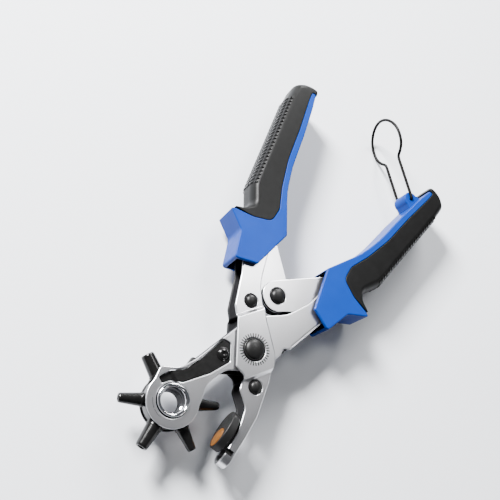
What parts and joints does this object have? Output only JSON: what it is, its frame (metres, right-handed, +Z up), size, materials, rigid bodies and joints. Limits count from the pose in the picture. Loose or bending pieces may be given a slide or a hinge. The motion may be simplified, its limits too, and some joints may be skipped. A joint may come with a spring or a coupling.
{
  "type": "rotary hole punch",
  "caption": "Rotary leather hole punch: two pressed-steel levers, an indexed turret of screwed punch tubes, a padded anvil, compound handles with soft grips and a wire lock loop.",
  "frame": {"origin": "centre of the object's footprint, on the surface that it lies on", "axes": "+X across the handles, +Y from the punches to the handle tips, +Z up out of the flat-lying tool, towards its front plates"},
  "size_m": [0.1358, 0.2902, 0.0337],
  "materials": {
    "steel": "satin polished, with bright bevelled rims",
    "chrome": "polished",
    "black_steel": "glossy black oxide",
    "spring_steel": "satin black oxide",
    "blue_plastic": "satin moulded",
    "black_rubber": "matte moulded",
    "black_plastic": "satin moulded",
    "brass": "satin"
  },
  "bodies": {
    "anvil_lever": {"anvil_lever_frame": "steel", "anvil_block": "black_plastic", "anvil_pad": "brass", "main_pivot_rivet": "black_steel", "upper_rivet": "black_steel", "lower_rivet": "black_steel", "upper_spacer": "black_steel", "lower_spacer": "black_steel", "left_pivot_rivet": "steel", "left_pivot_washer_front": "steel", "left_pivot_washer_rear": "steel"},
    "turret_lever": {"turret_lever_frame": "steel", "index_spring": "spring_steel", "index_spring_post": "black_steel", "index_spring_screw": "black_steel", "hub_eyelet": "chrome", "main_pivot_bush": "steel", "right_pivot_rivet": "steel", "return_spring": "spring_steel"},
    "turret": {"turret_wheel": "black_steel", "punch_tube_1": "black_steel", "punch_tube_2": "black_steel", "punch_tube_3": "black_steel", "punch_tube_4": "black_steel", "punch_tube_5": "black_steel", "punch_tube_6": "black_steel"},
    "left_handle": {"left_handle_core": "steel", "left_grip_shell": "blue_plastic", "left_grip_rubber": "black_rubber"},
    "right_handle": {"right_handle_core_front": "steel", "right_handle_core_rear": "steel", "handle_link_rivet": "black_steel", "right_grip_shell": "blue_plastic", "right_grip_rubber": "black_rubber"},
    "lock_loop": {"lock_loop": "spring_steel"}
  },
  "joints": [
    {"name": "jaw_pivot", "type": "hinge", "parent": "anvil_lever", "child": "turret_lever", "pos_m": [0.0036, -0.0651, 0.01687], "axis": [0, 0, 1], "range_deg": [0, 4.3], "stiffness_Nm_per_rad": 1.5, "springref_deg": -17.19},
    {"name": "left_handle_pivot", "type": "hinge", "parent": "anvil_lever", "child": "left_handle", "pos_m": [-0.0286, -0.0071, 0.01687], "axis": [0, 0, 1], "range_deg": [-5.2, 0]},
    {"name": "handle_link", "type": "hinge", "parent": "left_handle", "child": "right_handle", "pos_m": [0, -0.0254, 0.01687], "axis": [0, 0, 1], "range_deg": [0, 14]},
    {"name": "turret_spin", "type": "hinge", "parent": "turret_lever", "child": "turret", "pos_m": [-0.0196, -0.1166, 0.01687], "axis": [0, 0, 1], "continuous": true},
    {"name": "lock_loop_swing", "type": "hinge", "parent": "right_handle", "child": "lock_loop", "pos_m": [0.0446, 0.1012, 0.01687], "axis": [0, 0, 1], "range_deg": [-60, 110]}
  ],
  "couplings": [
    {"joint": "left_handle_pivot", "follows": "jaw_pivot", "ratio": -1.05},
    {"joint": "handle_link", "follows": "jaw_pivot", "ratio": 2.97}
  ]
}
